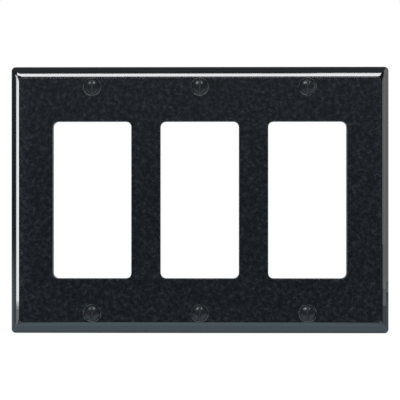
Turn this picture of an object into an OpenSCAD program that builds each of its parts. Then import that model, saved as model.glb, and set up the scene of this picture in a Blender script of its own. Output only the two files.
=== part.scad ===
// Three-gang wall plate cover with three tall device openings and the six
// oval-head screws that hold it. It stands upright as it does on a wall:
// width along X, height along Z, front face towards -Y, in millimetres.
// The origin is the centre of the plate in the plane of its back rim.

/* [Plate] */
// Overall width
plate_w = 161.9; // [158:0.1:175]
// Overall height
plate_h = 114.3; // [114:0.1:130]
// Depth from the wall to the front face
plate_depth = 5.6; // [5.2:0.1:7]
// Thickness of the moulded face
face_wall = 2.2; // [1.8:0.1:2.6]
// Radius of the outline's four corners
corner_r = 1.8; // [1:0.1:3]

/* [Bevel] */
// Width of the crowned bevel along the top and bottom
bevel_top = 5; // [4:0.1:5.2]
// Width of the crowned bevel along the sides
bevel_side = 3.7; // [3:0.1:5]
// How far the bevel falls from the face to the rim
bevel_drop = 2.9; // [2.4:0.1:3.2]
// Slope where the top and bottom bevels leave the face, in degrees
start_slope_top = 12; // [6:1:18]
// Slope where the side bevels leave the face, in degrees
start_slope_side = 15; // [6:1:20]

/* [Device openings] */
// Distance from one opening's centre to the next
gang_pitch = 46.04; // [45.5:0.01:46.5]
// Width of each opening
opening_w = 33.6; // [30:0.1:35]
// Height of each opening
opening_h = 67.2; // [60:0.1:69]
// Corner radius of each opening
opening_r = 2.4; // [1:0.1:5]

/* [Screw holes] */
// Distance from a top screw to the one below it
screw_spacing = 96.84; // [96:0.01:97]
// Radius of the clearance hole
hole_r = 1.9; // [1.85:0.05:2.1]
// Radius of the countersink at the front face
lip_r = 3.5; // [3.4:0.05:3.8]
// Included angle of the countersink and of the screw's head, in degrees
cone_angle = 82; // [80:1:90]

/* [Back of the plate] */
// Thickness of the rim that meets the wall
rim_wall = 1.9; // [1.5:0.1:2.4]
// Thickness of the collar round each opening
collar_wall = 1.6; // [1.2:0.1:2]
// Distance that the collars and ribs stop short of the wall
collar_gap = 1.8; // [1.2:0.1:2.4]
// Radius of the boss behind each screw hole
boss_r = 3.8; // [3.6:0.1:5.4]
// Distance that the bosses stop short of the wall
boss_gap = 1.5; // [1:0.1:2]
// Thickness of the stiffening ribs
rib_w = 1.2; // [0.8:0.1:1.6]

/* [Screws] */
// Length from the head's edge to the tip
screw_len = 12.7; // [11:0.1:25.4]
// Outer radius of the thread
thread_r = 1.75; // [1.6:0.01:1.76]
// Radius of the plain neck under the head
neck_r = 1.5; // [1.4:0.05:1.55]
// Radius of the head
head_r = 3.25; // [3.1:0.05:3.3]
// Height of the head's dome above its edge
dome_h = 1.2; // [0.9:0.1:1.4]
// Width of the driver slot
slot_w = 1; // [0.9:0.05:1.2]
// Depth of the driver slot below the top of the dome
slot_depth = 1.1; // [1:0.1:1.5]

/* [Hidden] */
$fn = 96;
plate_colour = [0.045, 0.048, 0.052];
screw_colour = [0.03, 0.03, 0.033];
cut = 1;                      // how far a cutting tool runs past what it cuts
join = 0.6;                   // how far a rib or a collar runs into its neighbour
hollow_top = plate_depth - face_wall;  // inner side of the face, above the wall
hollow_step = 2.2;            // straight height of the rim's inner wall
hollow_lean = 1.8;            // how far the rim's inner wall then leans inwards
hollow_corner_r = 1.2;
edge_land = 0.15;             // straight edge of the screw head
seat_gap = 0.1;               // radial gap between the head and its countersink
thread_start = 5;             // below the head's edge, just past the boss
tip_len = 0.6;
tip_r = 1.25;
half_cone = cone_angle / 2;
head_sink = (lip_r - head_r - seat_gap) / tan(half_cone) - edge_land;
cone_h = (head_r - neck_r) / tan(half_cone);
dome_r = (head_r * head_r + dome_h * dome_h) / (2 * dome_h);

// A rectangle with true round corners, centred.
module rounded_rect(w, h, r) {
    square([w - 2 * r, h], center = true);
    square([w, h - 2 * r], center = true);
    for (x = [-1, 1], z = [-1, 1])
        translate([x * (w / 2 - r), z * (h / 2 - r)]) circle(r);
}

// Stands a drawing of the front view up and gives it a depth, from one
// distance off the wall to another.
module from_wall(low, high) {
    translate([0, -low, 0]) rotate([90, 0, 0]) linear_extrude(high - low) children();
}

// Cross-section of the plate: flat in the middle, with a crowned bevel that
// is an arc from the start slope down to the rim at each side.
module crowned(half, bevel, slope) {
    end_slope = 2 * atan(bevel_drop / bevel) - slope;
    arc_r = bevel / (sin(end_slope) - sin(slope));
    flat = half - bevel;
    translate([-flat, -plate_depth]) square([2 * flat, plate_depth]);
    for (side = [-1, 1]) scale([side, 1]) intersection() {
        translate([flat - arc_r * sin(slope), arc_r * cos(slope) - plate_depth])
            circle(arc_r, $fn = 360);
        translate([flat - join, -plate_depth]) square([bevel + join, plate_depth]);
    }
}

// Cross-section of the hollow: straight inside the rim, then leaning in
// under the bevel so that the moulding keeps an even thickness.
module hollow_section(half) {
    inner = half - rim_wall;
    polygon([
        [-inner, cut], [-inner, -hollow_step], [hollow_lean - inner, -hollow_top],
        [inner - hollow_lean, -hollow_top], [inner, -hollow_step], [inner, cut]
    ]);
}

module at_gangs() {
    for (g = [-1, 0, 1]) translate([g * gang_pitch, 0]) children();
}

module at_screws() {
    at_gangs() for (row = [-1, 1]) translate([0, row * screw_spacing / 2]) children();
}

module plate_form() {
    intersection() {
        translate([-plate_w / 2, 0, 0]) rotate([0, 90, 0]) linear_extrude(plate_w)
            crowned(plate_h / 2, bevel_top, start_slope_top);
        translate([0, 0, -plate_h / 2]) linear_extrude(plate_h)
            crowned(plate_w / 2, bevel_side, start_slope_side);
        from_wall(0, plate_depth) rounded_rect(plate_w, plate_h, corner_r);
    }
}

module plate_hollow() {
    intersection() {
        translate([-plate_w / 2, 0, 0]) rotate([0, 90, 0]) linear_extrude(plate_w)
            hollow_section(plate_h / 2);
        translate([0, 0, -plate_h / 2]) linear_extrude(plate_h)
            hollow_section(plate_w / 2);
        from_wall(-cut, plate_depth)
            rounded_rect(plate_w - 2 * rim_wall, plate_h - 2 * rim_wall, hollow_corner_r);
    }
}

// Collars round the openings, and ribs from rim to rim between the gangs and
// through the screw bosses.
module back_ribs() {
    rib_top = hollow_top + join;
    from_wall(collar_gap, rib_top) {
        at_gangs() rounded_rect(opening_w + 2 * collar_wall, opening_h + 2 * collar_wall,
                                opening_r + collar_wall);
        for (side = [-1, 1]) {
            translate([side * gang_pitch / 2, 0])
                square([rib_w, plate_h - 2 * rim_wall + join], center = true);
            translate([0, side * screw_spacing / 2])
                square([plate_w - 2 * rim_wall + join, rib_w], center = true);
        }
    }
    from_wall(boss_gap, rib_top) at_screws() circle(boss_r);
}

module screw_hole() {
    sink = (lip_r - hole_r) / tan(half_cone);
    cylinder(r = hole_r, h = plate_depth + cut);
    cylinder(r1 = lip_r, r2 = hole_r, h = sink);
    translate([0, 0, -cut]) cylinder(r = lip_r, h = cut);
}

module wall_plate() {
    color(plate_colour) difference() {
        union() {
            difference() {
                plate_form();
                plate_hollow();
            }
            back_ribs();
        }
        from_wall(-cut, plate_depth + cut) at_gangs() rounded_rect(opening_w, opening_h, opening_r);
        for (g = [-1, 0, 1], row = [-1, 1])
            translate([g * gang_pitch, -plate_depth, row * screw_spacing / 2])
                rotate([-90, 0, 0]) screw_hole();
    }
}

// Everything of the screw in front of its neck: the domed top, its straight
// edge and the cone that seats in the countersink. Z runs towards the tip, and
// the head's edge is at zero.
module screw_head() {
    intersection() {
        translate([0, 0, dome_r - dome_h]) sphere(dome_r);
        translate([0, 0, -dome_h]) cylinder(r = head_r, h = dome_h + edge_land / 2);
    }
    cylinder(r = head_r, h = edge_land);
    translate([0, 0, edge_land]) cylinder(r1 = head_r, r2 = neck_r, h = cone_h);
}

// The plain neck starts where the cone ends, so that the slot never meets it.
module screw_shank() {
    neck_top = edge_land + cone_h;
    translate([0, 0, neck_top]) cylinder(r = neck_r, h = thread_start - neck_top);
    translate([0, 0, thread_start]) cylinder(r = thread_r, h = screw_len - tip_len - thread_start);
    translate([0, 0, screw_len - tip_len]) cylinder(r1 = thread_r, r2 = tip_r, h = tip_len);
}

module screw(gang, row) {
    color(screw_colour)
        translate([gang * gang_pitch, head_sink - plate_depth, row * screw_spacing / 2])
            rotate([-90, 0, 0]) {
                difference() {
                    screw_head();
                    translate([-slot_w / 2, -head_r - cut, -dome_h - cut])
                        cube([slot_w, 2 * (head_r + cut), slot_depth + cut]);
                }
                screw_shank();
            }
}

module screw_top_left() { screw(-1, 1); }
module screw_top_centre() { screw(0, 1); }
module screw_top_right() { screw(1, 1); }
module screw_bottom_left() { screw(-1, -1); }
module screw_bottom_centre() { screw(0, -1); }
module screw_bottom_right() { screw(1, -1); }

wall_plate();
screw_top_left();
screw_top_centre();
screw_top_right();
screw_bottom_left();
screw_bottom_centre();
screw_bottom_right();
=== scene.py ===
"""Looks of a three-gang wall plate cover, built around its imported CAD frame."""

import math

import bmesh
import bpy
import numpy as np
from mathutils import Matrix, Vector, geometry


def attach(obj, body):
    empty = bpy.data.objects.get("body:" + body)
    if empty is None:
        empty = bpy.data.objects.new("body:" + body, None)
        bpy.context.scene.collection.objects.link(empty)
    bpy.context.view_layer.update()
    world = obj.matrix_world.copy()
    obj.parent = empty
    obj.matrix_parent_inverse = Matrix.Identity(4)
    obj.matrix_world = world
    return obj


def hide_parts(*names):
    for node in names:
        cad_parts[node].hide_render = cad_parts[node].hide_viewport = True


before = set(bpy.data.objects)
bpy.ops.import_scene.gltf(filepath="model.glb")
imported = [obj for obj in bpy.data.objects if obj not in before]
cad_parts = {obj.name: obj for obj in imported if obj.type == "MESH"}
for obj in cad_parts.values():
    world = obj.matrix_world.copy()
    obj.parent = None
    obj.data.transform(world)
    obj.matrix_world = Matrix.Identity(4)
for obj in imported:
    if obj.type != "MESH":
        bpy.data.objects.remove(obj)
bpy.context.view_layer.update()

MM = 0.001
WELD = 2e-6                              # points closer than this, in metres, are one point

# ---------------------------------------------------------------- sizes in mm
PLATE_W, PLATE_H, DEPTH = 161.9, 114.3, 5.6
FACE_WALL = 2.2
BEVEL_SIDE, BEVEL_TOP, DROP = 3.7, 5.0, 2.9
SLOPE_SIDE, SLOPE_TOP = 15.0, 12.0
FACE_CORNER_R, OUTER_CORNER_R = 1.5, 1.8
PITCH, SPACING = 46.04, 96.84
OPEN_W, OPEN_H, OPEN_R = 33.6, 67.2, 2.4
HOLE_R, LIP_R, HALF_CONE = 1.9, 3.5, 41.0
RIM_WALL, HOLLOW_STEP, HOLLOW_LEAN, HOLLOW_R = 1.9, 2.2, 1.8, 1.2
COLLAR_WALL, COLLAR_GAP = 1.6, 1.8
BOSS_R, BOSS_GAP = 3.8, 1.5
RIB_W = 1.2
FLOOR_Y = -(DEPTH - FACE_WALL)
FOOT, FOOT_LOW, FOOT_ROOT = 0.3, 0.06, 0.08  # fillet at the foot of a collar or a boss

HEAD_R, DOME_H, EDGE = 3.25, 1.2, 0.15
NECK_R, THREAD_R, ROOT_R = 1.5, 1.75, 1.33
THREAD_START, SCREW_LEN, TIP_LEN, TIP_R = 5.0, 12.7, 0.6, 1.25
THREAD_PITCH = 0.794
SEAT_GAP = 0.1
SLOT_W, SLOT_FLOOR = 1.0, -0.1
LINES_A_TURN = 8                         # lines that draw one turn of the thread
HEAD_Y = (LIP_R - HEAD_R - SEAT_GAP) / math.tan(math.radians(HALF_CONE)) - EDGE - DEPTH

GANGS = {"left": -PITCH, "centre": 0.0, "right": PITCH}
ROWS = {"top": SPACING / 2, "bottom": -SPACING / 2}


# ------------------------------------------------------------- mesh building
class Shell:
    """Points and faces of one closed surface, made of rings and flat fills."""

    def __init__(self):
        self.points, self.faces, self.flat = [], [], {}

    def ring(self, points):
        first = len(self.points)
        self.points += points
        return list(range(first, len(self.points)))

    def loft(self, rings):
        for a, b in zip(rings, rings[1:]):
            for k in range(len(a)):
                j = (k + 1) % len(a)
                self.faces.append((a[k], b[k], b[j], a[j]))

    def fill(self, loops, normal):
        """A flat face bounded by the first loop, with the others as its holes."""
        ids = [i for loop in loops for i in loop]
        flat = [Vector((self.points[i][0], self.points[i][2])) for i in ids]
        edges, start = [], 0
        for loop in loops:
            n = len(loop)
            edges += [(start + k, start + (k + 1) % n) for k in range(n)]
            start += n
        out = geometry.delaunay_2d_cdt(flat, edges, [], 1, 1e-7)
        rings = [np.array([(self.points[i][0], self.points[i][2]) for i in loop]) for loop in loops]
        for face in out[2]:
            corners = [out[3][v][0] for v in face]
            middle = sum((flat[c] for c in corners), Vector((0, 0))) / 3
            if sum(inside(middle, r) for r in rings) == 1:
                self.faces.append(tuple(ids[c] for c in corners))
        for i in ids:
            self.flat[i] = normal


def inside(p, ring):
    """Whether a point lies within a closed ring, by counting crossings."""
    x0, z0 = ring[:, 0], ring[:, 1]
    x1, z1 = np.roll(x0, -1), np.roll(z0, -1)
    across = (z0 > p[1]) != (z1 > p[1])
    with np.errstate(divide="ignore", invalid="ignore"):
        x = (x1 - x0) * (p[1] - z0) / (z1 - z0) + x0
    return int(np.count_nonzero(across & (p[0] < x))) % 2


def rect_ring(half_w, half_h, r, y, centre=(0, 0), steps=10):
    """A rounded rectangle in a plane of constant y, anticlockwise from the front."""
    points = []
    for q, (sx, sz) in enumerate(((1, 1), (-1, 1), (-1, -1), (1, -1))):
        for k in range(steps + 1):
            a = math.radians(90 * (q + k / steps))
            points.append((
                centre[0] + sx * (half_w - r) + r * math.cos(a),
                y,
                centre[1] + sz * (half_h - r) + r * math.sin(a),
            ))
    return points


def round_ring(r, y, centre=(0, 0), count=64):
    turn = 2 * math.pi / count
    return [
        (centre[0] + r * math.cos(k * turn), y, centre[1] + r * math.sin(k * turn))
        for k in range(count)
    ]


def bend(a, b, c, steps):
    """Steps of a rounded corner from a to c, where b is the sharp corner."""
    out = []
    for k in range(steps + 1):
        t = k / steps
        out.append(tuple(
            (1 - t) ** 2 * p + 2 * t * (1 - t) * q + t * t * s for p, q, s in zip(a, b, c)
        ))
    return out


def mix(a, b, t):
    return tuple(p + (q - p) * t for p, q in zip(a, b))


def arc_out(drop, width, slope):
    """How far a crowned bevel has run outwards when it has fallen by drop."""
    start = math.radians(slope)
    end = 2 * math.atan(DROP / width) - start
    radius = width / (math.sin(end) - math.sin(start))
    here = math.acos(math.cos(start) - drop / radius)
    return radius * (math.sin(here) - math.sin(start))


def mesh_object(name, points, faces):
    mesh = bpy.data.meshes.new(name)
    mesh.from_pydata([tuple(c * MM for c in p) for p in points], [], faces)
    work = bmesh.new()
    work.from_mesh(mesh)
    bmesh.ops.remove_doubles(work, verts=work.verts, dist=WELD)
    bmesh.ops.recalc_face_normals(work, faces=work.faces)
    work.to_mesh(mesh)
    work.free()
    mesh.update()
    piece = bpy.data.objects.new(name, mesh)
    bpy.context.scene.collection.objects.link(piece)
    return piece


def boolean(piece, tool, operation):
    """Joins or cuts piece with tool for good, and removes the tool."""
    change = piece.modifiers.new("cut", "BOOLEAN")
    change.operation, change.object, change.solver = operation, tool, "EXACT"
    seen = piece.evaluated_get(bpy.context.evaluated_depsgraph_get())
    result = bpy.data.meshes.new_from_object(seen)
    piece.modifiers.clear()
    piece.data = result
    bpy.data.objects.remove(tool)


# ------------------------------------------------------------------ the plate
def outer_skin(shell):
    """From the front face's edge over the bevel and the rim into the hollow."""
    half_w, half_h = PLATE_W / 2, PLATE_H / 2
    face = (half_w - BEVEL_SIDE, half_h - BEVEL_TOP)
    start = math.radians(SLOPE_TOP)
    end = 2 * math.atan(DROP / BEVEL_TOP) - start
    radius = BEVEL_TOP / (math.sin(end) - math.sin(start))

    def on_bevel(drop):
        share = drop / DROP
        return (
            face[0] + arc_out(drop, BEVEL_SIDE, SLOPE_SIDE),
            face[1] + arc_out(drop, BEVEL_TOP, SLOPE_TOP),
            FACE_CORNER_R + (OUTER_CORNER_R - FACE_CORNER_R) * share,
            drop - DEPTH,
        )

    soft = 0.16
    drops = [0, 0.012]
    steps = 26
    for k in range(1, steps + 1):
        drops.append(radius * (math.cos(start) - math.cos(start + (end - start) * k / steps)))
    shape = [on_bevel(d) for d in drops if d < DROP - soft - 0.02]
    outer = (half_w, half_h, OUTER_CORNER_R)
    rim_y = DROP - DEPTH
    shape += bend(on_bevel(DROP - soft), outer + (rim_y,), outer + (rim_y + soft,), 5)
    edge = 0.25
    back = (half_w - edge, half_h - edge, OUTER_CORNER_R - edge, 0)
    shape += bend(outer + (-edge,), outer + (0,), back, 4)
    inner = (half_w - RIM_WALL, half_h - RIM_WALL, HOLLOW_R)
    lip = tuple(c + 0.2 for c in inner) + (0,)
    shape += bend(lip, inner + (0,), inner + (-0.2,), 3)
    step = inner + (-HOLLOW_STEP,)
    foot = (inner[0] - HOLLOW_LEAN, inner[1] - HOLLOW_LEAN, HOLLOW_R, FLOOR_Y)
    shape += bend(inner + (0.25 - HOLLOW_STEP,), step, mix(step, foot, 0.2), 3)
    floor = (foot[0] - 0.3, foot[1] - 0.3, HOLLOW_R, FLOOR_Y)
    shape += bend(mix(foot, step, 0.2), foot, floor, 3)
    rings = [shell.ring(rect_ring(*s)) for s in shape]
    shell.loft(rings)
    return rings[0], rings[-1]


def opening(shell, x):
    """A device opening with its collar. Returns its rims in the face and in the floor."""
    def at(grow, y):
        return (OPEN_W / 2 + grow, OPEN_H / 2 + grow, OPEN_R + grow, y)

    front, back = 0.22, 0.15                 # softened edges
    wall, top = COLLAR_WALL, -COLLAR_GAP
    face_land, floor_land = 1.2, 1.0         # flat margins that join the face and the floor
    shape = [at(face_land, -DEPTH)]
    shape += bend(at(front, -DEPTH), at(0, -DEPTH), at(0, front - DEPTH), 5)
    shape += bend(at(0, top - back), at(0, top), at(back, top), 3)
    shape += bend(at(wall - back, top), at(wall, top), at(wall, top - back), 3)
    low, root, out = wall + FOOT_LOW, wall + FOOT_ROOT, wall + FOOT
    shape += bend(at(low, FLOOR_Y + FOOT), at(root, FLOOR_Y), at(out, FLOOR_Y), 3)
    shape.append(at(wall + floor_land, FLOOR_Y))
    rings = [shell.ring(rect_ring(*s, centre=(x, 0), steps=8)) for s in shape]
    shell.loft(rings)
    for i in rings[1]:
        shell.flat[i] = (0, -1, 0)
    for i in rings[-2]:
        shell.flat[i] = (0, 1, 0)
    return rings[0], rings[-1]


def screw_hole(shell, x, z):
    """A countersunk hole and the boss behind it. Returns its rims in the face and in the floor."""
    lean = math.tan(math.radians(HALF_CONE))
    sink = (LIP_R - HOLE_R) / lean
    lip, edge = 0.14, 0.15                   # softened edges at the front and at the back
    shape = bend((LIP_R + lip, -DEPTH), (LIP_R, -DEPTH), (LIP_R - lip, -DEPTH + lip / lean), 4)
    throat = (HOLE_R, sink - DEPTH)
    shape += bend(mix(throat, (LIP_R, -DEPTH), 0.08), throat, (HOLE_R, sink - DEPTH + edge), 2)
    top = -BOSS_GAP
    shape += bend((HOLE_R, top - edge), (HOLE_R, top), (HOLE_R + edge, top), 2)
    shape += bend((BOSS_R - edge, top), (BOSS_R, top), (BOSS_R, top - edge), 3)
    low, root, out = BOSS_R + FOOT_LOW, BOSS_R + FOOT_ROOT, BOSS_R + FOOT
    shape += bend((low, FLOOR_Y + FOOT), (root, FLOOR_Y), (out, FLOOR_Y), 3)
    rings = [shell.ring(round_ring(*s, centre=(x, z))) for s in shape]
    shell.loft(rings)
    return rings[0], rings[-1]


def rib(x0, x1, z0, z1):
    """A closed stiffening rib with a slightly narrower back edge."""
    draft, low, high = 0.08, FLOOR_Y - 0.5, -COLLAR_GAP
    shell = Shell()
    rings = []
    for inset, y in ((0, low), (0, FLOOR_Y), (draft, high - 0.12), (draft + 0.12, high)):
        along_x = x1 - x0 > z1 - z0
        dx, dz = (0, inset) if along_x else (inset, 0)
        rings.append(shell.ring([
            (x1 - dx, y, z1 - dz), (x0 + dx, y, z1 - dz),
            (x0 + dx, y, z0 + dz), (x1 - dx, y, z0 + dz),
        ]))
    shell.loft(rings)
    shell.faces += [tuple(rings[0]), tuple(rings[-1])]
    return mesh_object("rib", shell.points, shell.faces)


def plate_normals(piece, known):
    """Sets exact normals: smooth over the bevels and fillets, and flat on the faces."""
    mesh = piece.data
    count = len(mesh.loops)
    corner = np.empty(count, int)
    mesh.loops.foreach_get("vertex_index", corner)
    owner = np.empty(count, int)
    for face in mesh.polygons:
        owner[face.loop_start:face.loop_start + face.loop_total] = face.index
    flat = np.array([f.normal[:] for f in mesh.polygons])
    place = np.array([v.co[:] for v in mesh.vertices])
    keys = [tuple(k) for k in np.round(place / (MM * 1e-3)).astype(int)]
    chosen = flat[owner].copy()
    for i in range(count):
        smooth = known.get(keys[corner[i]])
        if smooth is not None and smooth @ chosen[i] > 0.5:
            chosen[i] = smooth
    mesh.polygons.foreach_set("use_smooth", np.ones(len(mesh.polygons), bool))
    mesh.normals_split_custom_set([tuple(n) for n in chosen])
    mesh.update()


def build_plate():
    shell = Shell()
    face_rim, floor_rim = outer_skin(shell)
    front, back = [face_rim], [floor_rim]
    for x in GANGS.values():
        a, b = opening(shell, x)
        front.append(a)
        back.append(b)
        for z in ROWS.values():
            a, b = screw_hole(shell, x, z)
            front.append(a)
            back.append(b)
    lofted = len(shell.faces)
    shell.fill(front, (0, -1, 0))
    shell.fill(back, (0, 1, 0))
    piece = mesh_object("plate_shell", shell.points, shell.faces)

    # smooth normals of the lofted surfaces, flat ones where a fill touches
    sums = {}
    points = np.array(shell.points)
    for face in shell.faces[:lofted]:
        quad = points[list(face)]
        normal = np.cross(quad[2] - quad[0], quad[3] - quad[1])
        size = np.linalg.norm(normal)
        if size < 1e-9:
            continue
        for i in face:
            sums[i] = sums.get(i, 0) + normal / math.sqrt(size)
    known = {}
    for i, total in sums.items():
        normal = np.array(shell.flat[i], float) if i in shell.flat else total / np.linalg.norm(total)
        known[tuple(np.round(points[i] / 1e-3).astype(int))] = normal
    outward = {}
    for face in piece.data.polygons:
        for v in face.vertices:
            key = tuple(np.round(np.array(piece.data.vertices[v].co) / (MM * 1e-3)).astype(int))
            outward[key] = outward.get(key, 0) + np.array(face.normal)
    for key, normal in known.items():
        if key in outward and normal @ outward[key] < 0:
            known[key] = -normal

    reach = PLATE_W / 2 - RIM_WALL + 0.7
    bury = BOSS_R - 0.9
    for z in ROWS.values():
        stops = [-reach]
        for x in GANGS.values():
            stops += [x - bury, x + bury]
        stops.append(reach)
        for a, b in zip(stops[::2], stops[1::2]):
            boolean(piece, rib(a, b, z - RIB_W / 2, z + RIB_W / 2), "UNION")
    reach = PLATE_H / 2 - RIM_WALL + 0.7
    for side in (-1, 1):
        x = side * PITCH / 2
        boolean(piece, rib(x - RIB_W / 2, x + RIB_W / 2, -reach, reach), "UNION")
    plate_normals(piece, known)
    return piece


# ----------------------------------------------------------------- the screws
def dome_y(x, z):
    """Where the domed head's surface lies along y, with its edge at 0 and its crown at -DOME_H."""
    radius = (HEAD_R ** 2 + DOME_H ** 2) / (2 * DOME_H)
    return radius - DOME_H - math.sqrt(max(radius ** 2 - x * x - z * z, 0))


def slot_tool():
    """A prism along the slot whose mouth flares a little along the dome."""
    shell = Shell()
    half, ease, top = SLOT_W / 2, 0.1, -DOME_H - 1
    rings = []
    steps = 28
    reach = HEAD_R + 0.8
    for k in range(steps + 1):
        z = -reach + 2 * reach * k / steps
        y = min(dome_y(half, min(abs(z), math.sqrt(HEAD_R ** 2 - half ** 2))), SLOT_FLOOR - 0.2)
        flare = bend((half, y + ease), (half, y), (half + ease, y - 0.004), 3)
        side = [(half - 0.08, SLOT_FLOOR), (half, SLOT_FLOOR - 0.08)] + flare + [(half + ease, top)]
        ring = [(x, s, z) for x, s in side] + [(-x, s, z) for x, s in reversed(side)]
        rings.append(shell.ring(ring))
    shell.loft(rings)
    shell.faces += [tuple(rings[0]), tuple(rings[-1])]
    return mesh_object("slot_tool", shell.points, shell.faces)


def thread_radius(row, s):
    """Radius of the thread on one of its lines, faded in at the neck and coned at the tip."""
    rise = (0, 0, 1 / 3, 2 / 3, 1, 1, 2 / 3, 1 / 3)[row % LINES_A_TURN]
    full = ROOT_R + (THREAD_R - ROOT_R) * rise
    fade_in = 0.5
    fade = min(max((s - THREAD_START) / fade_in, 0), 1)
    start = NECK_R + (full - NECK_R) * fade
    cone = THREAD_R - (s - SCREW_LEN + TIP_LEN) / TIP_LEN * (THREAD_R - TIP_R)
    return min(start, cone) if s > SCREW_LEN - TIP_LEN else start


def build_screw():
    """One screw at the origin, its head's edge at y 0 and its tip towards +Y."""
    columns = 48
    shell = Shell()
    radius = (HEAD_R ** 2 + DOME_H ** 2) / (2 * DOME_H)
    widest = math.asin(HEAD_R / radius)
    shape = []
    for k in range(1, 15):
        a = widest * k / 14.6
        shape.append((radius * math.sin(a), radius - DOME_H - radius * math.cos(a)))
    shape += bend((HEAD_R - 0.11, dome_y(HEAD_R - 0.11, 0)), (HEAD_R, 0), (HEAD_R, EDGE * 0.7), 3)
    neck = EDGE + (HEAD_R - NECK_R) / math.tan(math.radians(HALF_CONE))
    shape += [(HEAD_R, EDGE), (HEAD_R - 0.06, EDGE + 0.05)]
    shape += bend((NECK_R + 0.2, neck - 0.23), (NECK_R, neck), (NECK_R, neck + 0.2), 3)
    shape.append((NECK_R, THREAD_START))
    rings = [shell.ring(round_ring(r, y, count=columns)) for r, y in shape]
    tip = shell.ring([(0, -DOME_H, 0)])[0]
    shell.faces += [(tip, rings[0][k], rings[0][(k + 1) % columns]) for k in range(columns)]
    shell.loft(rings)

    # the thread: helical lines, evenly spaced along the shank, that climb one pitch a turn
    turn = LINES_A_TURN
    rows = int((SCREW_LEN - THREAD_START) / THREAD_PITCH * turn) + 2
    grid = []
    for k in range(columns + 1):
        line = []
        for row in range(-turn, rows + turn):
            s = THREAD_START + (row + turn * k / columns) * THREAD_PITCH / turn
            s = min(max(s, THREAD_START), SCREW_LEN)
            r = thread_radius(row, s)
            a = 2 * math.pi * k / columns
            line.append((r * math.cos(a), s, r * math.sin(a)))
        grid.append(shell.ring(line))
    for a, b in zip(grid, grid[1:]):
        for row in range(len(a) - 1):
            shell.faces.append((a[row], a[row + 1], b[row + 1], b[row]))
    end = shell.ring(round_ring(TIP_R, SCREW_LEN, count=columns))
    middle = shell.ring([(0, SCREW_LEN, 0)])[0]
    shell.faces += [(middle, end[(k + 1) % columns], end[k]) for k in range(columns)]

    piece = mesh_object("screw_shape", shell.points, shell.faces)
    work = bmesh.new()
    work.from_mesh(piece.data)
    bmesh.ops.dissolve_degenerate(work, dist=1e-7, edges=work.edges)
    bmesh.ops.recalc_face_normals(work, faces=work.faces)
    work.to_mesh(piece.data)
    work.free()
    boolean(piece, slot_tool(), "DIFFERENCE")
    piece.data.polygons.foreach_set("use_smooth", np.ones(len(piece.data.polygons), bool))
    piece.data.set_sharp_from_angle(angle=math.radians(32))
    return piece


# ------------------------------------------------------------------ materials
def new_material(name):
    material = bpy.data.materials.new(name)
    material.use_nodes = True
    tree = material.node_tree
    return material, tree, tree.nodes["Principled BSDF"]


def node(tree, kind, inputs=(), **settings):
    made = tree.nodes.new(kind)
    for key, value in settings.items():
        setattr(made, key, value)
    for key, value in dict(inputs).items():
        if isinstance(value, bpy.types.NodeSocket):
            tree.links.new(value, made.inputs[key])
        else:
            made.inputs[key].default_value = value
    return made


def ramp(tree, value, low, high, to_low=0.0, to_high=1.0, smooth=True):
    return node(
        tree, "ShaderNodeMapRange",
        {"Value": value, "From Min": low, "From Max": high, "To Min": to_low, "To Max": to_high},
        interpolation_type="SMOOTHSTEP" if smooth else "LINEAR",
    ).outputs[0]


def maths(tree, operation, a, b):
    return node(tree, "ShaderNodeMath", {0: a, 1: b}, operation=operation).outputs[0]


def mix_number(tree, factor, a, b):
    made = node(tree, "ShaderNodeMix", {"Factor": factor, "A": a, "B": b}, data_type="FLOAT")
    return made.outputs[0]


def mix_colour(tree, factor, a, b):
    made = tree.nodes.new("ShaderNodeMix")
    made.data_type = "RGBA"
    for socket, value in ((made.inputs[0], factor), (made.inputs[6], a), (made.inputs[7], b)):
        if isinstance(value, bpy.types.NodeSocket):
            tree.links.new(value, socket)
        else:
            socket.default_value = value
    return made.outputs[2]


def noise(tree, where, scale, detail=2.0, rough=0.55):
    made = node(
        tree, "ShaderNodeTexNoise",
        {"Vector": where, "Scale": scale, "Detail": detail, "Roughness": rough},
    )
    return made.outputs["Fac"]


def axes_of(tree, vector):
    """The x, y and z sockets of a vector socket."""
    return node(tree, "ShaderNodeSeparateXYZ", {0: vector}).outputs


def absolute(tree, value):
    return node(tree, "ShaderNodeMath", {0: value}, operation="ABSOLUTE").outputs[0]


def flat_face(tree, where, depth):
    """1 on the plate's flat front face and 0 beyond it, with an edge that wanders a little."""
    face_y, near, far, wander = -DEPTH * MM, 0.000012, 0.00003, 0.00003
    drift = maths(tree, "SUBTRACT", noise(tree, where, 260, 2), 0.5)
    drift = maths(tree, "MULTIPLY", drift, wander)
    return ramp(tree, maths(tree, "ADD", depth, drift), face_y + near, face_y + far, 1.0, 0.0)


def lip_sheen_ring(tree, where, across, up):
    """A broken paler ring round each screw hole: a painted sheen that stands in for the light the hole's
    rounded lip catches.
    """
    half, ring_r, inner, outer = PITCH / 2 * MM, 3.57 * MM, 0.16 * MM, 0.5 * MM
    aside = node(tree, "ShaderNodeMath", {0: across, 1: -half, 2: half}, operation="WRAP").outputs[0]
    above = maths(tree, "SUBTRACT", absolute(tree, up), SPACING / 2 * MM)
    squares = [maths(tree, "MULTIPLY", side, side) for side in (aside, above)]
    reach = node(tree, "ShaderNodeMath", {0: maths(tree, "ADD", *squares)}, operation="SQRT").outputs[0]
    off = absolute(tree, maths(tree, "SUBTRACT", reach, ring_r))
    broken = ramp(tree, noise(tree, where, 480, 2), 0.36, 0.62, 0.12, 0.9)
    return maths(tree, "MULTIPLY", ramp(tree, off, inner, outer, 1.0, 0.0), broken)


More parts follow.
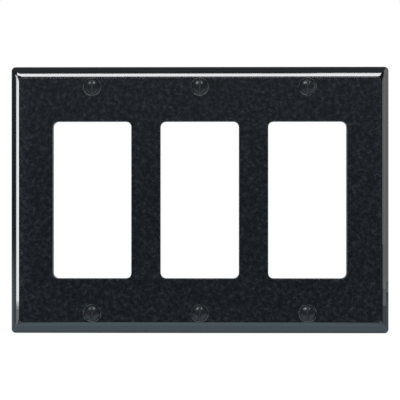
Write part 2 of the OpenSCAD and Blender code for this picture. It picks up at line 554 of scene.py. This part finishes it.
def plate_material():
    """Black moulded plastic: a finely flecked flat face, a polished bevel and rim, a satin back, and a
    painted sheen ring round each screw hole.
    """
    material, tree, shader = new_material("black_plate_plastic")
    spot = node(tree, "ShaderNodeTexCoord")
    where = spot.outputs["Object"]
    across, depth, up = axes_of(tree, where)
    behind = ramp(tree, axes_of(tree, spot.outputs["Normal"])[1], 0.15, 0.6)
    textured = flat_face(tree, where, depth)
    painted_lip_sheen = lip_sheen_ring(tree, where, across, up)

    coarse, fine, coarse_share = noise(tree, where, 570, 2, 0.5), noise(tree, where, 1500, 2, 0.6), 0.65
    coarse = maths(tree, "MULTIPLY", coarse, coarse_share)
    grain = maths(tree, "ADD", coarse, maths(tree, "MULTIPLY", fine, 1 - coarse_share))
    sharpness = 2.2                      # above 1, the pale flecks are small on a dark ground
    flecks = maths(tree, "POWER", ramp(tree, grain, 0.34, 0.74, smooth=False), sharpness)
    smear = noise(tree, where, 90, 3)

    ground, fleck = (0.0001, 0.0005, 0.0011, 1), (0.0128, 0.0162, 0.0198, 1)
    # the second colour of this line is a painted sheen for the lips of the screw holes
    polished, lip_sheen_colour = (0.0015, 0.0018, 0.0022, 1), (0.0125, 0.0136, 0.0147, 1)
    satin_dark, satin_pale = (0.006, 0.0066, 0.0074, 1), (0.0105, 0.0112, 0.0122, 1)
    colour = mix_colour(tree, textured, polished, mix_colour(tree, flecks, ground, fleck))
    colour = mix_colour(tree, behind, colour, mix_colour(tree, smear, satin_dark, satin_pale))
    # painted sheen: a paler ring round each screw hole stands in for light caught on its rounded lip
    colour = mix_colour(tree, painted_lip_sheen, colour, lip_sheen_colour)
    tree.links.new(colour, shader.inputs["Base Color"])

    # roughness: the walls of the openings are duller than the polished bevel and rim
    polish, dull_wall, dull_lip = 0.075, 0.5, 0.8
    in_width = ramp(tree, absolute(tree, across), 0.068, 0.07, 1.0, 0.0)
    in_height = ramp(tree, absolute(tree, up), 0.04, 0.042, 1.0, 0.0)
    rough = mix_number(tree, maths(tree, "MULTIPLY", in_width, in_height), polish, dull_wall)
    rough = mix_number(tree, textured, rough, ramp(tree, flecks, 0.0, 1.0, 0.279, 0.361, smooth=False))
    rough = mix_number(tree, painted_lip_sheen, rough, dull_lip)
    rough = mix_number(tree, behind, rough, ramp(tree, smear, 0.3, 0.7, 0.26, 0.36))
    tree.links.new(rough, shader.inputs["Roughness"])
    shader.inputs["IOR"].default_value = 1.5

    # relief: the grain on the flat face, off the lips, and a faint ripple everywhere
    relief, ripple_share = 0.00009, 0.12
    pitted = maths(tree, "MULTIPLY", grain, textured)
    pitted = maths(tree, "MULTIPLY", pitted, maths(tree, "SUBTRACT", 1.0, painted_lip_sheen))
    ripple = maths(tree, "MULTIPLY", noise(tree, where, 120, 1), ripple_share)
    height = maths(tree, "ADD", pitted, ripple)
    bump = node(tree, "ShaderNodeBump", {"Strength": 1.0, "Distance": relief, "Height": height})
    tree.links.new(bump.outputs[0], shader.inputs["Normal"])
    return material


def screw_material():
    """Satin black paint over a steel screw, rubbed through to the zinc in specks along the shank, with
    painted light on the floor of the slot.
    """
    material, tree, shader = new_material("black_painted_screw")
    spot = node(tree, "ShaderNodeTexCoord")
    where = spot.outputs["Object"]
    along = axes_of(tree, where)[1]
    facing = axes_of(tree, spot.outputs["Normal"])[1]
    speck = noise(tree, where, 1500, 3, 0.6)

    shank_start, shank_full, wear = (HEAD_Y + 1.2) * MM, (HEAD_Y + 2.2) * MM, 0.62
    shank = maths(tree, "MULTIPLY", ramp(tree, along, shank_start, shank_full), wear)
    rubbed = ramp(tree, maths(tree, "ADD", speck, shank), 0.82, 1.0)
    below_dome = ramp(tree, along, (HEAD_Y - 0.6) * MM, (HEAD_Y - 0.3) * MM)
    slot = maths(tree, "MULTIPLY", ramp(tree, facing, -0.93, -0.985), below_dome)

    paint_dark, paint_pale = (0.006, 0.007, 0.008, 1), (0.011, 0.0124, 0.0136, 1)
    # painted light: the slot's floor is painted paler, standing in for light where the slot's depth shades
    # it
    slot_floor_painted_light = (0.029, 0.0312, 0.0335, 1)
    zinc_dark, zinc_pale, zinc_rough = (0.30, 0.31, 0.33, 1), (0.46, 0.47, 0.49, 1), 0.34
    paint = mix_colour(tree, slot, mix_colour(tree, speck, paint_dark, paint_pale), slot_floor_painted_light)
    zinc = mix_colour(tree, speck, zinc_dark, zinc_pale)
    tree.links.new(mix_colour(tree, rubbed, paint, zinc), shader.inputs["Base Color"])
    tree.links.new(rubbed, shader.inputs["Metallic"])
    rough = mix_number(tree, rubbed, ramp(tree, speck, 0.3, 0.7, 0.21, 0.27), zinc_rough)
    tree.links.new(rough, shader.inputs["Roughness"])
    shader.inputs["IOR"].default_value = 1.3
    bump = node(tree, "ShaderNodeBump", {"Strength": 0.5, "Distance": 0.00003, "Height": speck})
    tree.links.new(bump.outputs[0], shader.inputs["Normal"])
    return material


def floor_material():
    """A plain pale floor that glows a little, evenly to the camera. What the plate mirrors of it is a
    little cooler, and dimmer under its back: a painted shadow of the plate on the floor.
    """
    material, tree, shader = new_material("pale_floor")
    where = node(tree, "ShaderNodeTexCoord").outputs["Object"]
    cloud = noise(tree, where, 6, 2)
    seen = node(tree, "ShaderNodeLightPath").outputs["Is Camera Ray"]
    back = ramp(tree, axes_of(tree, where)[1], -0.03, 0.02)

    pale = mix_colour(tree, cloud, (0.80, 0.80, 0.81, 1), (0.83, 0.83, 0.84, 1))
    cool = mix_colour(tree, cloud, (0.64, 0.80, 0.90, 1), (0.67, 0.83, 0.93, 1))
    # painted shadow: what the plate mirrors of the floor is darker, and glows less, behind and under the
    # plate
    cool = mix_colour(tree, back, cool, (0.3, 0.36, 0.4, 1))
    cool_glow = mix_colour(tree, back, (0.76, 1.0, 1.13, 1), (0.4, 0.5, 0.55, 1))
    glow = mix_colour(tree, seen, cool_glow, (1.0, 1.0, 1.0, 1))
    tree.links.new(mix_colour(tree, seen, cool, pale), shader.inputs["Base Color"])
    tree.links.new(glow, shader.inputs["Emission Color"])
    shader.inputs["Emission Strength"].default_value = 0.62
    shader.inputs["Roughness"].default_value = 0.8
    return material


# ------------------------------------------------------------------ the stage
def panel_light(name, a, b, c, radiance, colour=(1, 1, 1), spread=180):
    """A softbox from its corner a to the ends b and c of its sides, shining towards the plate."""
    a, b, c = Vector(a), Vector(b), Vector(c)
    across, up = b - a, c - a
    y = up.normalized()
    x = (across - y * across.dot(y)).normalized()
    z = x.cross(y)
    middle = a + (across + up) / 2
    if z.dot(middle) < 0:
        x, z = -x, -z
    data = bpy.data.lights.new(name, "AREA")
    data.shape = "RECTANGLE"
    data.size, data.size_y = across.length, up.length
    data.color = colour
    data.energy = radiance * math.pi * across.length * up.length
    data.spread = math.radians(spread)
    lamp = bpy.data.objects.new(name, data)
    bpy.context.scene.collection.objects.link(lamp)
    lamp.matrix_world = Matrix.Translation(middle) @ Matrix((x, y, z)).transposed().to_4x4()
    lamp.visible_camera = False
    return lamp


def build_world():
    """White to the camera. Other rays see a white backdrop behind the plate and a dim room in front."""
    world = bpy.data.worlds.new("studio")
    bpy.context.scene.world = world
    world.use_nodes = True
    tree = world.node_tree
    tree.nodes.clear()
    x, y, z = axes_of(tree, node(tree, "ShaderNodeTexCoord").outputs["Generated"])
    to_right = ramp(tree, x, -0.1, 0.1)

    # the dim room: darker below and to the right, paler overhead
    low_room, mid_room = (0.05, 0.06, 0.075, 1), (0.17, 0.20, 0.235, 1)
    high_room, right_room = (0.35, 0.37, 0.39, 1), (0.05, 0.06, 0.07, 1)
    dim = mix_colour(tree, ramp(tree, z, -0.2, 0.2), low_room, mid_room)
    dim = mix_colour(tree, ramp(tree, z, 0.5, 0.9), dim, high_room)
    dim = mix_colour(tree, ramp(tree, x, 0.15, 0.6), dim, right_room)

    # pale walls beside the plate, below eye level, that its bevels mirror
    low = mix_number(tree, to_right, ramp(tree, z, -0.02, -0.1), ramp(tree, z, -0.07, -0.09))
    beside = maths(tree, "MULTIPLY", ramp(tree, y, -0.75, -0.45), low)
    diagonal = ramp(tree, absolute(tree, x), 0.12, 0.36)
    diagonal = maths(tree, "MULTIPLY", diagonal, ramp(tree, z, -0.14, -0.36))
    beside = maths(tree, "MAXIMUM", beside, diagonal)
    left_wall, right_front, right_back = (0.88, 1.0, 1.08, 1), (1.12, 1.28, 1.38, 1), (0.66, 0.75, 0.81, 1)
    right_wall = mix_colour(tree, ramp(tree, y, -0.4, 0.2), right_front, right_back)
    room = mix_colour(tree, beside, dim, mix_colour(tree, to_right, left_wall, right_wall))

    backdrop, white = (1.1, 1.1, 1.1, 1), (1, 1, 1, 1)
    room = mix_colour(tree, ramp(tree, y, 0.75, 0.95), room, backdrop)
    seen = node(tree, "ShaderNodeLightPath").outputs["Is Camera Ray"]
    colour = mix_colour(tree, seen, room, white)
    shade = node(tree, "ShaderNodeBackground", {"Color": colour, "Strength": 1.0})
    node(tree, "ShaderNodeOutputWorld", {"Surface": shade.outputs[0]})


def build_floor():
    """A round floor below the plate that starts in front of it and runs back."""
    radius, centre_y, drop, count = 285, 165, 0.12, 96
    rim = [(x, z + centre_y, 0) for x, y, z in round_ring(radius, 0, count=count)]
    floor = mesh_object("floor", rim, [tuple(range(count))])
    floor.location = (0, 0, -drop)
    floor.data.materials.append(floor_material())


def build_lights():
    white, cool = (0.97, 0.99, 1.0), (0.76, 1.0, 1.13)

    # softboxes high in front, which the crowned top bevel and the screws' domes mirror
    box_y, box_z = -1.2, 0.995
    for name, left, right, top, radiance in (
            ("softbox_top", -1.05, 0.52, 1.73, 19.0),
            ("softbox_top_right", 0.25, 0.56, 1.92, 14.0)):
        corner = (left, box_y, box_z)
        panel_light(name, corner, (right, box_y, box_z), (left, box_y, top), radiance, white)

    # a narrow strip close to the left bevel, fading out towards its foot
    inner_x, inner_y, outer_x, outer_y, spread = -0.0827, -0.0115, -0.0859, -0.0083, 70
    for name, low, high, radiance in (
            ("strip_left", -0.0438, 0.0575, 3.1),
            ("strip_left_fade_a", -0.0449, -0.0438, 2.3),
            ("strip_left_fade_b", -0.046, -0.0449, 1.6),
            ("strip_left_fade_c", -0.0475, -0.046, 1.0),
            ("strip_left_low", -0.0615, -0.0475, 0.55)):
        corner = (inner_x, inner_y, low)
        side, top = (outer_x, outer_y, low), (inner_x, inner_y, high)
        panel_light(name, corner, side, top, radiance, white, spread)

    # cards beside the right bevel, dimmer towards the back and the foot
    card_x = 0.0985
    for name, near, far, low, high, radiance in (
            ("card_right", -0.0225, -0.0045, -0.02, 0.092, 2.5),
            ("card_right_mid", -0.0205, -0.0045, -0.0395, -0.02, 2.25),
            ("card_right_low", -0.0195, -0.0042, -0.047, -0.0395, 1.3),
            ("card_right_back", -0.0045, 0.02, -0.036, 0.092, 1.3),
            ("card_right_back_low", -0.0045, 0.02, -0.041, -0.036, 0.75)):
        corner = (card_x, near, low)
        panel_light(name, corner, (card_x, far, low), (card_x, near, high), radiance)

    # a faint cool card low in front, for the bottom bevel
    corner, side, top = (-0.2, -0.2, -0.115), (0.2, -0.2, -0.115), (-0.2, -0.055, -0.1195)
    panel_light("card_low", corner, side, top, 0.335, cool)


def build_camera():
    """Level with the middle, a little to the right of it, and turned back towards it."""
    distance, aside, view_width, sensor = 0.48, 0.005, 0.1707213, 36.0
    data = bpy.data.cameras.new("camera")
    camera = bpy.data.objects.new("camera", data)
    bpy.context.scene.collection.objects.link(camera)
    data.sensor_width = sensor
    data.lens = sensor * distance / view_width
    data.clip_start, data.clip_end = 0.01, 20
    aim = Vector((0.00013, -DEPTH * MM, 0.00002))
    place = Vector((aside, -DEPTH * MM - distance, 0.0))
    camera.location = place
    camera.rotation_mode = "QUATERNION"
    camera.rotation_quaternion = (aim - place).to_track_quat("-Z", "Y")
    bpy.context.scene.camera = camera


# ------------------------------------------------------------------- assembly
plate = build_plate()
plate.name = plate.data.name = "plate"
plate.data.materials.append(plate_material())
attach(plate, "plate")
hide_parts("wall_plate")

pattern = build_screw()
paint = screw_material()
for row, z in ROWS.items():
    for gang, x in GANGS.items():
        mesh = pattern.data.copy()
        for vertex in mesh.vertices:
            vertex.co += Vector((x, HEAD_Y, z)) * MM
        mesh.materials.append(paint)
        mesh.name = name = f"painted_screw_{row}_{gang}"
        piece = bpy.data.objects.new(name, mesh)
        bpy.context.scene.collection.objects.link(piece)
        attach(piece, f"screw_{row}_{gang}_body")
        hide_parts(f"screw_{row}_{gang}")
bpy.data.objects.remove(pattern)

build_floor()
build_world()
build_lights()
build_camera()
bpy.context.scene.view_settings.view_transform = "Standard"
